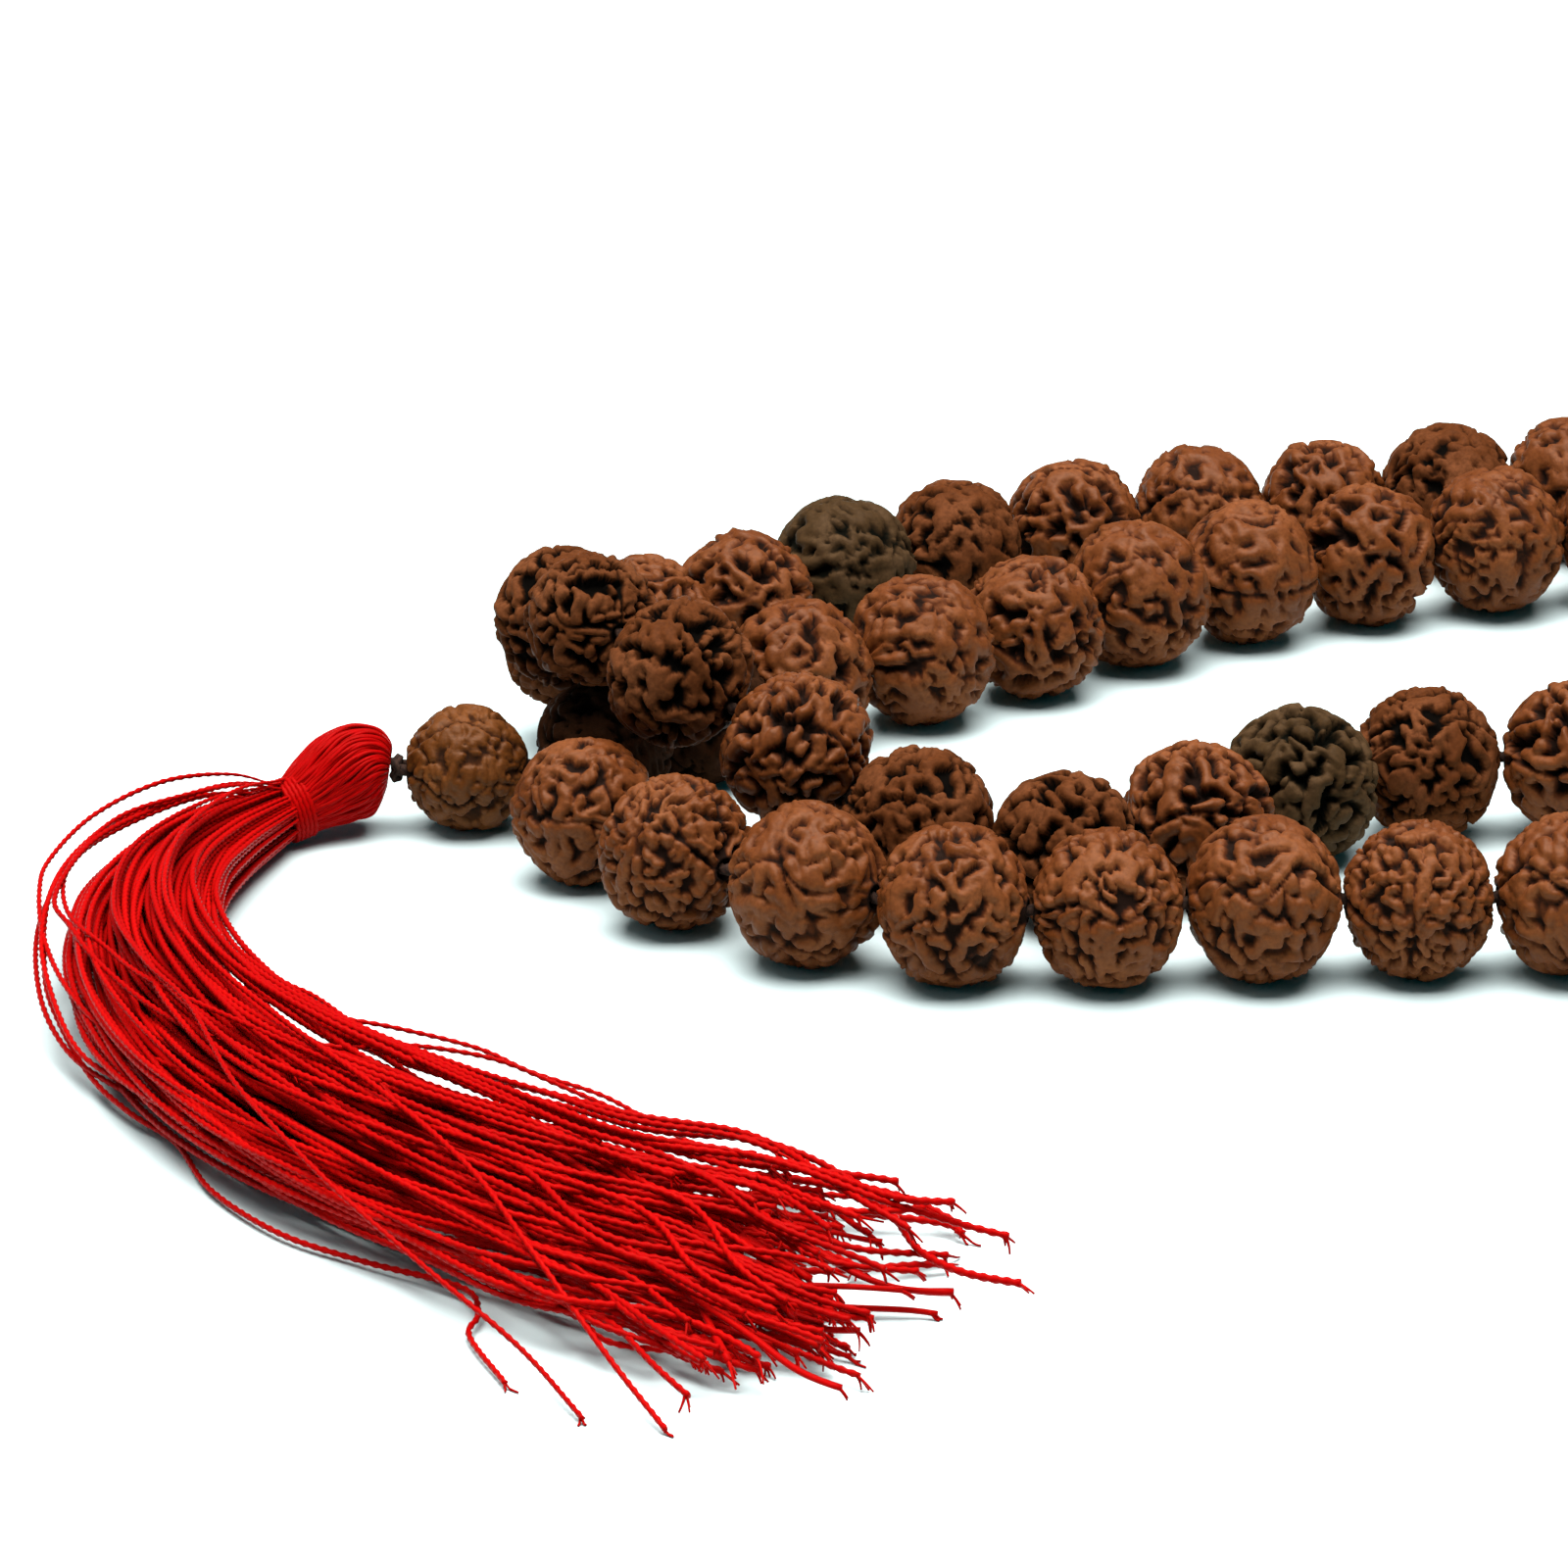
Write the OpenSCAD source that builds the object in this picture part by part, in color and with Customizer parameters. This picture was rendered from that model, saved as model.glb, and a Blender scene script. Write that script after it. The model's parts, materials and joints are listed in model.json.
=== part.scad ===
// A japa mala of rudraksha seeds: 108 beads and a guru bead on one cord, laid down as a loop
// that is wrapped twice, with a silk tassel tied on behind the guru bead.
// The origin is on the table straight below the middle of the guru bead. +X runs along the
// strands, away from the tassel, +Y away from the front strand and +Z is up.

/* [Beads] */
// Diameter of a common bead, across its hole
bead_d = 8; // [6:0.5:10]
// Length of a bead along its hole, as a share of its diameter
bead_squat = 0.89; // [0.86:0.01:0.9]
// How far a bead's size may be from the common one, as a share of it
bead_spread = 0.025; // [0:0.005:0.03]
// Diameter of the hole through a bead
hole_d = 1.5; // [1.4:0.05:1.8]

/* [Guru bead] */
// Diameter of the guru bead, across its hole
guru_d = 6.4; // [6:0.1:6.8]
// Length of the guru bead along its hole, as a share of its diameter
guru_squat = 0.96; // [0.94:0.01:0.98]
// Diameter of the guru bead's hole, which takes both ends of the cord
guru_hole_d = 2; // [2:0.1:2.4]

/* [Cord and knot] */
// Diameter of the cord
cord_d = 0.7; // [0.6:0.05:0.75]
// Diameter of the knot that ties the cord's ends behind the guru bead
knot_d = 1.3; // [1.2:0.1:1.4]

/* [Tassel] */
// Thickness of the tassel's head, where it is thickest
head_d = 4.9; // [4.6:0.1:5]
// Thickness of the tassel's neck, inside its binding
neck_d = 2.8; // [2.4:0.1:3]
// Thickness of the thread that binds the neck
binding_d = 0.4; // [0.3:0.05:0.5]

/* [Hidden] */
// The route was laid out for beads of this diameter, and grows and shrinks with them.
ROUTE_BEAD_D = 8;
k_size = bead_d / ROUTE_BEAD_D;
BEADS = 108;
// Beads that are smaller than the rest, with their size as a share of the common one.
SMALL_BEADS = [
    [1, 0.93], [2, 0.97], [56, 0.94], [57, 0.93],
    [58, 0.86], [59, 0.96], [107, 0.95], [108, 0.92]
];
// Golden angle: it spreads the sizes of the beads evenly, with no pattern.
SIZE_STEP = 137.5;
ROUND_FN = 40;
PROFILE_STEPS = 12;
CORD_SIDES = 8;
WIDE_GAP = 0.55;
SPLINE_STEPS = 6;
ARC_STEP = 12;

// ---- the route of the loop, through the middles of the beads ----
z_flat = 4;
// The two round bends that close the strands on the right.
outer_bend = [140, 22];
outer_bend_r = 42;
outer_turn = 194;
inner_bend = [135, 23.5];
inner_bend_r = 29.5;
inner_start = -94;
inner_turn = 198;

front_strand = [
    [6.2, -7.6, z_flat], [10.9, -14.1, z_flat], [17.3, -18.9, z_flat], [24.3, -21.5, z_flat],
    [31.8, -21.7, z_flat], [39.4, -21, z_flat], [47, -20.5, z_flat], [54.4, -20.2, z_flat],
    [62, -20, z_flat], [80, -20, z_flat], [100, -20, z_flat], [124, -20, z_flat]
];
far_strand = [
    [112, 58.2, z_flat], [86, 51.6, z_flat], [70, 47.5, z_flat], [60.9, 45.2, z_flat],
    [53.7, 43.2, z_flat], [46.5, 41.2, z_flat], [39.3, 39.2, z_flat], [32.4, 36.9, z_flat],
    [25.5, 33.7, z_flat], [19.4, 29.6, z_flat], [14, 24.6, z_flat]
];
// The bend on the left climbs over the end of the third strand, next to the guru bead.
raised_bend = [
    [8.6, 19.6, 4.1], [5.3, 13.6, 5.7], [4.8, 8.2, 8.7], [5.9, 1.9, 11.5],
    [10.7, -3.9, 10], [16.8, -7.3, 6.9]
];
second_strand = [
    [23.2, -11.4, z_flat], [29.9, -13.3, z_flat], [36.6, -9.9, z_flat], [42.4, -4.3, z_flat],
    [48.9, -0.9, z_flat], [56.6, -0.7, z_flat], [64, -1.5, z_flat], [84, -3, z_flat],
    [104, -4.5, z_flat], [118, -5.5, z_flat]
];
third_strand = [
    [110, 48.2, z_flat], [90, 43.3, z_flat], [72, 38.9, z_flat], [62.7, 36.7, z_flat],
    [55.6, 34.9, z_flat], [48.6, 32.8, z_flat], [41.6, 29.7, z_flat], [35, 25.2, z_flat],
    [29, 20.2, z_flat], [22.8, 15.9, z_flat], [16.7, 12.2, z_flat], [11.6, 6.8, z_flat],
    [7, 2.1, z_flat]
];

function arc(middle, r, start, turn) = [
    for (a = [0:ARC_STEP:turn])
        [middle[0] + r * cos(start + a), middle[1] + r * sin(start + a), z_flat]
];

route = k_size * concat(
    front_strand,
    arc(outer_bend, outer_bend_r, -90, outer_turn),
    far_strand,
    raised_bend,
    second_strand,
    arc(inner_bend, inner_bend_r, inner_start, inner_turn),
    third_strand
);

// ---- small vector tools ----
function unit(v) = v / norm(v);
function mix(a, b, t) = a + (b - a) * t;
function running_sum(list) = [
    for (i = 0, s = 0; i <= len(list); s = s + (i < len(list) ? list[i] : 0), i = i + 1) s
];
function total(list) = list * [for (x = list) 1];

// ---- a smooth curve through the points of the route ----
function leg(p, i) = norm(p[i + 1] - p[i]);
function heading(p, i) =
    i == 0 ? unit(p[1] - p[0])
    : i == len(p) - 1 ? unit(p[i] - p[i - 1])
    : ((p[i] - p[i - 1]) / leg(p, i - 1) * leg(p, i) + (p[i + 1] - p[i]) / leg(p, i) * leg(p, i - 1))
      / (leg(p, i - 1) + leg(p, i));
function curve_point(p, i, t) =
    p[i] * (2 * pow(t, 3) - 3 * pow(t, 2) + 1)
    + heading(p, i) * leg(p, i) * (pow(t, 3) - 2 * pow(t, 2) + t)
    + p[i + 1] * (3 * pow(t, 2) - 2 * pow(t, 3))
    + heading(p, i + 1) * leg(p, i) * (pow(t, 3) - pow(t, 2));
function curve(p) = concat(
    [for (i = [0:len(p) - 2]) for (j = [0:SPLINE_STEPS - 1]) curve_point(p, i, j / SPLINE_STEPS)],
    [p[len(p) - 1]]
);

track = curve(route);
track_at = running_sum([for (i = [0:len(track) - 2]) norm(track[i + 1] - track[i])]);
track_length = track_at[len(track) - 1];
function place_on_track(s) =
    let (i = max([for (j = [0:len(track) - 2]) track_at[j] <= s ? j : 0]))
    mix(track[i], track[i + 1], (s - track_at[i]) / (track_at[i + 1] - track_at[i]));

// ---- the beads along it ----
// The beads that the strands show singly, and rows of beads that share a node.
SINGLE_BEADS = concat([for (k = [1:8]) k], [for (k = [47:66]) k], [for (k = [100:108]) k]);
// A straight row turns on the cord as one, and a curved row keeps its place.
STRAIGHT_ROWS = [[9, 13], [14, 18], [38, 41], [42, 46], [67, 71], [72, 75], [91, 95], [96, 99]];
CURVED_ROWS = [[19, 23], [24, 28], [29, 33], [34, 37], [76, 80], [81, 85], [86, 90]];
ROWS = concat(STRAIGHT_ROWS, CURVED_ROWS);
function straight_row(k) = [for (row = STRAIGHT_ROWS) if (row[0] <= k && k <= row[1]) row];
function is_in_straight_row(k) = len(straight_row(k)) > 0;

// The beads of a straight row are all of the common size.
function size_of(k) =
    let (small = [for (b = SMALL_BEADS) if (b[0] == k) b[1]])
    k_size * (
        len(small) > 0 ? small[0]
        : is_in_straight_row(k) ? 1
        : 1 + bead_spread * sin(k * SIZE_STEP)
    );
function across(k) = ROUTE_BEAD_D * size_of(k);
function along(k) = across(k) * bead_squat;
steps = [for (k = [1:BEADS - 1]) (along(k) + along(k + 1)) / 2];
packed_at = running_sum(steps);
// Some beads lie exactly at a point of the route, and those between them share the spare cord.
far_first = len(front_strand) + floor(outer_turn / ARC_STEP) + 1;
second_first = far_first + len(far_strand) + len(raised_bend);
third_first = second_first + len(second_strand) + floor(inner_turn / ARC_STEP) + 1;
PINNED = [
    [1, 0], [3, 2], [5, 4], [8, 7], [47, far_first + 3], [54, far_first + 10], [60, far_first + 16],
    [66, second_first + 5], [100, third_first + 4], [108, len(route) - 1]
];
function pin_after(k) = min([for (i = [1:len(PINNED) - 1]) if (PINNED[i][0] >= k) i]);
function pinned_at(i) = track_at[PINNED[i][1] * SPLINE_STEPS];
function packed_to(i) = packed_at[PINNED[i][0] - 1];
function bead_at(k) =
    let (b = pin_after(k), a = b - 1)
    pinned_at(a)
    + (packed_at[k - 1] - packed_to(a)) / (packed_to(b) - packed_to(a)) * (pinned_at(b) - pinned_at(a));
// The route is that of a common bead, and a bead of another size lies on the table all the same.
function to_table(k) = [0, 0, (across(k) - bead_d) / 2];
middles = [
    for (k = [1:BEADS])
        to_table(k) + (k == BEADS ? track[len(track) - 1] : place_on_track(bead_at(k)))
];
spare = (track_length - total(steps)) / (BEADS - 1);

// The guru bead is clear of the table, so that it can turn on the cord.
guru_lift = 0.1;
guru_z = guru_d / 2 + guru_lift;
guru_l = guru_d * guru_squat;
guru_end = guru_l / 2;
// The cord's two runs lie side by side in the guru bead's hole.
run_gap = 0.14;
run_y = (cord_d + run_gap) / 2;

function share_of_row(k, row) =
    (packed_at[k - 1] - packed_at[row[0] - 1]) / (packed_at[row[1] - 1] - packed_at[row[0] - 1]);
function middle(k) =
    is_in_straight_row(k)
    ? let (row = straight_row(k)[0])
      mix(middles[row[0] - 1], middles[row[1] - 1], share_of_row(k, row))
    : middles[k - 1];
function before(k) = k == 1 ? [guru_end, -run_y, guru_z] : middle(k - 1);
function after(k) = k == BEADS ? [guru_end, run_y, guru_z] : middle(k + 1);
function direction(k) =
    is_in_straight_row(k)
    ? let (row = straight_row(k)[0]) unit(middle(row[1]) - middle(row[0]))
    : unit(after(k) - before(k));
function front_hole(k) = middle(k) - direction(k) * along(k) / 2;
function back_hole(k) = middle(k) + direction(k) * along(k) / 2;

function three_digits(k) = str(k < 100 ? "0" : "", k < 10 ? "0" : "", k);
function bead_name(k) = str("bead_", three_digits(k));
function row_name(row) = str("beads_", three_digits(row[0]), "_to_", three_digits(row[1]));

// ---- the knot and the tassel ----
head_gap = 0.12;
knot_gap = 0.1;
knot_at = [-guru_end - knot_gap - knot_d / 2, 0, guru_z];
knot_waist = knot_d * 0.95;
// The head points back from the knot, towards the front and down to the table.
head_turn = 25;
head_dip = 14;
head_start = knot_d / 2 + head_gap;
head_rim = 0.3;
neck_at = 5;
BINDING_TURNS = 3;
neck_end = neck_at + BINDING_TURNS * binding_d;
dimple_edge = acos((head_rim - 0.05) / head_start);

// The skirt from the neck to the cut ends: its middle on the table, half its width, half its height.
skirt_route = [
    [-9.1, -2.4, 1.45, 1.5], [-10.6, -5, 2, 1.9], [-12.6, -9.5, 2.7, 2.2], [-14.2, -15, 3.3, 2.5],
    [-14.6, -21.5, 3.9, 2.7], [-13.6, -28.3, 4.7, 2.8], [-11.2, -34.8, 5.5, 2.8], [-7.6, -40.8, 6.2, 2.7],
    [-3, -46, 7, 2.6], [2.2, -50.6, 7.8, 2.5], [7.6, -54.6, 8.7, 2.3], [13, -58, 9.6, 2],
    [17.4, -61.4, 10.4, 1.6], [21, -63.6, 9.6, 1]
];
SKIRT_SIDES = 16;
skirt_lift = 0.05;

// ---- shapes ----
// A round seed with a hole through it, lying along X.
module seed(d, l, hole) {
    edge = asin(hole / d);
    rotate([0, 90, 0])
        rotate_extrude($fn = ROUND_FN)
            polygon(concat(
                [[hole / 2, -l / 2 * cos(edge)]],
                [
                    for (i = [1:PROFILE_STEPS - 1])
                        let (a = edge + (180 - 2 * edge) * i / PROFILE_STEPS)
                        [d / 2 * sin(a), -l / 2 * cos(a)]
                ],
                [[hole / 2, l / 2 * cos(edge)]]
            ));
}

// Turns what lies along +X to lie along v.
module along_vector(v) {
    rotate([0, -asin(v[2] / norm(v)), atan2(v[1], v[0])])
        children();
}

// A closed tube through the middles of its rings, each ring being a list of points.
module skin(rings) {
    sides = len(rings[0]);
    last = len(rings) - 1;
    polyhedron(
        points = [for (ring = rings) for (p = ring) p],
        faces = concat(
            [[for (j = [0:sides - 1]) sides - 1 - j]],
            [[for (j = [0:sides - 1]) last * sides + j]],
            [
                for (i = [0:last - 1])
                    for (j = [0:sides - 1])
                        [i * sides + j, i * sides + (j + 1) % sides, (i + 1) * sides + (j + 1) % sides]
            ],
            [
                for (i = [0:last - 1])
                    for (j = [0:sides - 1])
                        [i * sides + j, (i + 1) * sides + (j + 1) % sides, (i + 1) * sides + j]
            ]
        ),
        convexity = 10
    );
}

function ring(middle, forward, half_width, half_height, sides) =
    let (side = unit(cross(forward, [0, 0, 1])), up = cross(side, forward))
    [
        for (j = [0:sides - 1])
            middle
            + side * half_width * cos(360 * j / sides)
            + up * half_height * sin(360 * j / sides)
    ];

// ---- the pieces ----
// The cord bends only in the gaps between beads: halfway from one hole to the next, or at both
// holes where they are further apart and don't face each other.
function gap_points(k) =
    let (leaves = back_hole(k), enters = front_hole(k + 1))
    norm(enters - leaves) > WIDE_GAP ? [leaves, enters] : [(leaves + enters) / 2];
gaps = concat(
    [front_hole(1) - direction(1) * spare / 2],
    [for (k = [1:BEADS - 1]) each gap_points(k)],
    [back_hole(BEADS)]
);
// The two runs stay parallel until just inside the guru bead's end, then part to the first and
// the last bead, which is close by.
cord_start = -guru_end - 0.03;
run_end = guru_end - 0.2;
parting = guru_end + 0.5;
front_parting_y = -run_y - 0.3;
cord_path = concat(
    [[cord_start, -run_y, guru_z], [run_end, -run_y, guru_z], [parting, front_parting_y, guru_z]],
    gaps,
    [[run_end, run_y, guru_z], [cord_start, run_y, guru_z]]
);

module cord() {
    last = len(cord_path) - 1;
    color("#3a2620")
        skin([
            for (i = [0:last])
                ring(
                    cord_path[i],
                    unit(
                        (i == last ? [0, 0, 0] : unit(cord_path[i + 1] - cord_path[i]))
                        + (i == 0 ? [0, 0, 0] : unit(cord_path[i] - cord_path[i - 1]))
                    ),
                    cord_d / 2, cord_d / 2, CORD_SIDES
                )
        ]);
}

module guru_bead() {
    color("#7a4426")
        translate([0, 0, guru_z])
            seed(guru_d, guru_l, guru_hole_d);
}

module bead(k) {
    color("#6b3a25")
        translate(middle(k))
            along_vector(direction(k))
                seed(across(k), along(k), hole_d);
}

module bead_row(row) {
    for (k = [row[0]:row[1]])
        bead(k);
}

// The knot's last turn is wound round its waist, and the tassel swings about that.
module knot() {
    color("#2d1c18")
        translate(knot_at)
            intersection() {
                sphere(d = knot_d, $fn = ROUND_FN);
                cylinder(d = knot_waist, h = knot_d, center = true, $fn = ROUND_FN);
            }
}

// Stands what is built up along +Z on the line from the knot to the neck.
module behind_knot() {
    translate(knot_at)
        rotate([0, 0, 180 + head_turn])
            rotate([0, 90 + head_dip, 0])
                children();
}

module tassel_head() {
    color("#c01018")
        behind_knot()
            rotate_extrude($fn = ROUND_FN)
                polygon(concat(
                    [
                        for (i = [0:4])
                            let (a = dimple_edge * i / 4)
                            [head_start * sin(a), head_start * cos(a)]
                    ],
                    [
                        [head_d * 0.28, head_rim], [head_d * 0.4, head_rim + 0.5],
                        [head_d * 0.47, head_rim + 1.2], [head_d * 0.5, head_rim + 2],
                        [head_d * 0.48, head_rim + 2.9], [head_d * 0.4, neck_at - 0.8],
                        [neck_d / 2, neck_at], [neck_d / 2, neck_end], [0, neck_end]
                    ]
                ));
}

module neck_binding() {
    color("#a00c14")
        behind_knot()
            for (i = [0:BINDING_TURNS - 1])
                translate([0, 0, neck_at + binding_d * (i + 0.5)])
                    rotate_extrude($fn = ROUND_FN)
                        translate([(neck_d + binding_d) / 2, 0])
                            circle(d = binding_d, $fn = ROUND_FN);
}

module tassel_skirt() {
    last = len(skirt_route) - 1;
    points = [for (s = skirt_route) [s[0], s[1], s[3] + skirt_lift]];
    color("#c8141c")
        skin([
            for (i = [0:last])
                ring(
                    points[i],
                    unit(points[min(i + 1, last)] - points[max(i - 1, 0)]),
                    skirt_route[i][2], skirt_route[i][3], SKIRT_SIDES
                )
        ]);
}

cord();
guru_bead();
knot();
tassel_head();
neck_binding();
tassel_skirt();
for (k = SINGLE_BEADS)
    bead(k);
for (row = ROWS)
    bead_row(row);
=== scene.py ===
"""A japa mala of rudraksha seeds with a red silk tassel, laid on a plain pale floor.

The CAD frame gives the place, axis and size of every bead, the knot and the tassel. This script
gives each bead the ridged skin of a real seed, runs a twisted cord through them all, and builds
the tassel thread by thread in the space that its CAD solids hold.
"""

import json
import math

import bmesh
import bpy
import numpy as np
from mathutils import Matrix, Vector


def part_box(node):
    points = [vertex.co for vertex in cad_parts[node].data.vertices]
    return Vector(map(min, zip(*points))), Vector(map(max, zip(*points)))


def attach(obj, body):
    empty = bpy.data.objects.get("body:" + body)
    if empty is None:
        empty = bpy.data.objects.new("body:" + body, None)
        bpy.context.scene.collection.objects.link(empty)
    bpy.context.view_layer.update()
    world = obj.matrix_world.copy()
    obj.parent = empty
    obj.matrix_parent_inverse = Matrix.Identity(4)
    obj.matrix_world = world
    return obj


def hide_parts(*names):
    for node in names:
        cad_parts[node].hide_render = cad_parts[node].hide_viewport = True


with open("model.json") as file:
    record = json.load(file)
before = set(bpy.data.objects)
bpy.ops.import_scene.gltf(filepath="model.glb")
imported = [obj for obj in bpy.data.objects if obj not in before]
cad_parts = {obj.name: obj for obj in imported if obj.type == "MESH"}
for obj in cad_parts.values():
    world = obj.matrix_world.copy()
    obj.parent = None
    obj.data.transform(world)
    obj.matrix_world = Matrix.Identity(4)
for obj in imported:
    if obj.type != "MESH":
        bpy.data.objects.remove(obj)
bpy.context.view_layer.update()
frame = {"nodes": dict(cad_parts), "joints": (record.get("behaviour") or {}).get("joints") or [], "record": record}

MM = 0.001
TURN = 2 * math.pi

# ---- camera: looks along +Y from the tassel's side, a little down ----
CAMERA_AT = (0.016167, -0.35772, 0.1326)
CAMERA_PITCH = math.radians(20)
LENS_MM = 171
SENSOR_MM = 36


def add_camera():
    data = bpy.data.cameras.new("camera")
    data.lens = LENS_MM
    data.sensor_width = SENSOR_MM
    camera = bpy.data.objects.new("camera", data)
    camera.location = CAMERA_AT
    camera.rotation_euler = (math.pi / 2 - CAMERA_PITCH, 0, 0)
    bpy.context.scene.collection.objects.link(camera)
    bpy.context.scene.camera = camera


add_camera()


# ---- small tools ----
def unit(v):
    """Vectors of length 1, along the last axis."""
    v = np.asarray(v, dtype=float)
    return v / np.linalg.norm(v, axis=-1, keepdims=True)


def smooth_step(low, high, x):
    """Rises smoothly from 0, where x is low, to 1, where x is high."""
    t = np.clip((x - low) / (high - low), 0, 1)
    return t * t * (3 - 2 * t)


def waves(points, rng, wavelength, count=24):
    """Smooth noise over points, about -1 to 1, with one wavelength."""
    ways = unit(rng.normal(size=(count, points.shape[-1])))
    phases = rng.uniform(0, TURN, count)
    total = np.cos(points @ ways.T * (TURN / wavelength) + phases).sum(axis=-1)
    return total / math.sqrt(count)


def make_mesh(name, points, faces, marks):
    """A smooth mesh, with a number for each point under each name in marks."""
    mesh = bpy.data.meshes.new(name)
    mesh.from_pydata(np.asarray(points).tolist(), [], faces)
    for mark, values in marks.items():
        layer = mesh.attributes.new(mark, "FLOAT", "POINT")
        layer.data.foreach_set("value", np.asarray(values, dtype=np.float32))
    mesh.shade_smooth()
    return mesh


def add_piece(name, mesh, body, material, nodes):
    """A piece that rides on body and stands in for the CAD solids in nodes."""
    piece = bpy.data.objects.new(name, mesh)
    bpy.context.scene.collection.objects.link(piece)
    mesh.materials.clear()
    mesh.materials.append(material)
    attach(piece, body)
    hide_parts(*nodes)
    return piece


def resample(path, count, start=0.0, end=1.0):
    """Points on the smooth curve through path, evenly apart; start and end are shares of it."""
    path = np.asarray(path, dtype=float)
    steps = np.linspace(0, len(path) - 1, 8 * len(path))
    dense = curve_at(path, steps)
    run = np.concatenate([[0], np.cumsum(np.linalg.norm(np.diff(dense, axis=0), axis=1))])
    want = np.linspace(start, end, count) * run[-1]
    return np.stack([np.interp(want, run, dense[:, k]) for k in range(dense.shape[1])], axis=1)


def curve_at(path, at):
    """The Catmull-Rom curve through path, at these places counted in points."""
    padded = np.concatenate([[2 * path[0] - path[1]], path, [2 * path[-1] - path[-2]]])
    i = np.clip(np.floor(at).astype(int), 0, len(path) - 2)
    t = (at - i)[:, None]
    a, b, c, d = padded[i], padded[i + 1], padded[i + 2], padded[i + 3]
    bend = 2 * a - 5 * b + 4 * c - d
    return 0.5 * (2 * b + (c - a) * t + bend * t ** 2 + (3 * b - a - 3 * c + d) * t ** 3)


# ---- threads: tubes along many paths at once ----
def strands(paths, radius, sides, pitch, lobes=2, depth=0.17, phase=None):
    """Twisted threads along paths, an array of threads x points x 3.

    The plies are lobes of the thread's outline, whose depth is a share of the radius, and they turn
    once in each pitch. Gives points, faces, and for each point how deep it lies between two plies.
    """
    threads, rings = paths.shape[:2]
    along = unit(np.gradient(paths, axis=1))
    side = np.empty_like(paths)
    seed = np.cross(along[:, 0], [0.13, 0.21, 1.0])
    side[:, 0] = unit(seed)
    for i in range(1, rings):
        carried = side[:, i - 1]
        lean = (carried * along[:, i]).sum(axis=1, keepdims=True)
        side[:, i] = unit(carried - lean * along[:, i])
    up = np.cross(along, side)
    run = np.linalg.norm(np.diff(paths, axis=1), axis=2).cumsum(axis=1)
    run = np.concatenate([np.zeros((threads, 1)), run], axis=1)
    if phase is None:
        phase = np.zeros(threads)
    twist = run / pitch * TURN + np.asarray(phase)[:, None]
    angle = np.arange(sides) * TURN / sides
    lobe = np.cos(lobes * (angle[None, None] - twist[:, :, None]))
    reach = np.broadcast_to(radius, (threads, rings))[:, :, None] * (1 - depth + depth * lobe)
    points = (
        paths[:, :, None]
        + side[:, :, None] * (reach * np.cos(angle))[..., None]
        + up[:, :, None] * (reach * np.sin(angle))[..., None]
    )
    ring = np.arange(threads * rings).reshape(threads, rings)
    here = ring[:, :-1, None] * sides
    there = ring[:, 1:, None] * sides
    j = np.arange(sides)
    k = (j + 1) % sides
    quads = np.stack([here + j, here + k, there + k, there + j], axis=-1).reshape(-1, 4)
    first = (ring[:, :1] * sides + j[::-1]).reshape(threads, sides)
    last = (ring[:, -1:] * sides + j).reshape(threads, sides)
    faces = quads.tolist() + first.tolist() + last.tolist()
    return points.reshape(-1, 3), faces, (0.5 - 0.5 * lobe).reshape(-1)


# ---- materials ----
class Nodes:
    """Short ways to build a node material."""

    # Object coordinates are metres, or millimetres on the seeds, whose meshes are scaled.
    per_unit = 1 / MM

    def __init__(self, name):
        self.material = bpy.data.materials.new(name)
        self.material.use_nodes = True
        self.tree = self.material.node_tree
        self.shader = self.tree.nodes["Principled BSDF"]

    def add(self, kind, **inputs):
        node = self.tree.nodes.new(kind)
        for name, value in inputs.items():
            self.set(node, name, value)
        return node

    def set(self, node, name, value):
        """Links or sets an input, in whose name _ stands for a space."""
        socket = node.inputs[name.replace("_", " ")]
        if isinstance(value, bpy.types.NodeSocket):
            self.tree.links.new(value, socket)
        else:
            socket.default_value = value

    def mark(self, name):
        """A number that the mesh has at each point."""
        node = self.add("ShaderNodeAttribute")
        node.attribute_name = name
        return node.outputs["Fac"]

    def noise(self, feature_mm, detail):
        node = self.add(
            "ShaderNodeTexNoise",
            Vector=self.add("ShaderNodeTexCoord").outputs["Object"],
            Scale=self.per_unit / feature_mm,
            Detail=detail,
        )
        return node.outputs["Fac"]

    def mix(self, factor, a, b):
        node = self.tree.nodes.new("ShaderNodeMix")
        node.data_type = "RGBA"
        for socket, value in ((0, factor), (6, a), (7, b)):
            if isinstance(value, bpy.types.NodeSocket):
                self.tree.links.new(value, node.inputs[socket])
            else:
                node.inputs[socket].default_value = (*value, 1)
        return node.outputs[2]

    def span(self, factor, low, high, to_low, to_high):
        """Carries a factor from low and high to to_low and to_high, and no further."""
        node = self.add(
            "ShaderNodeMapRange",
            Value=factor,
            From_Min=low,
            From_Max=high,
            To_Min=to_low,
            To_Max=to_high,
        )
        return node.outputs["Result"]

    def sum(self, a, b):
        node = self.add("ShaderNodeMath", Value=a)
        node.operation = "ADD"
        self.tree.links.new(b, node.inputs[1])
        return node.outputs[0]

    def bump(self, height, depth_mm, strength):
        node = self.add("ShaderNodeBump", Height=height, Distance=depth_mm * MM, Strength=strength)
        return node.outputs["Normal"]


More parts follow.
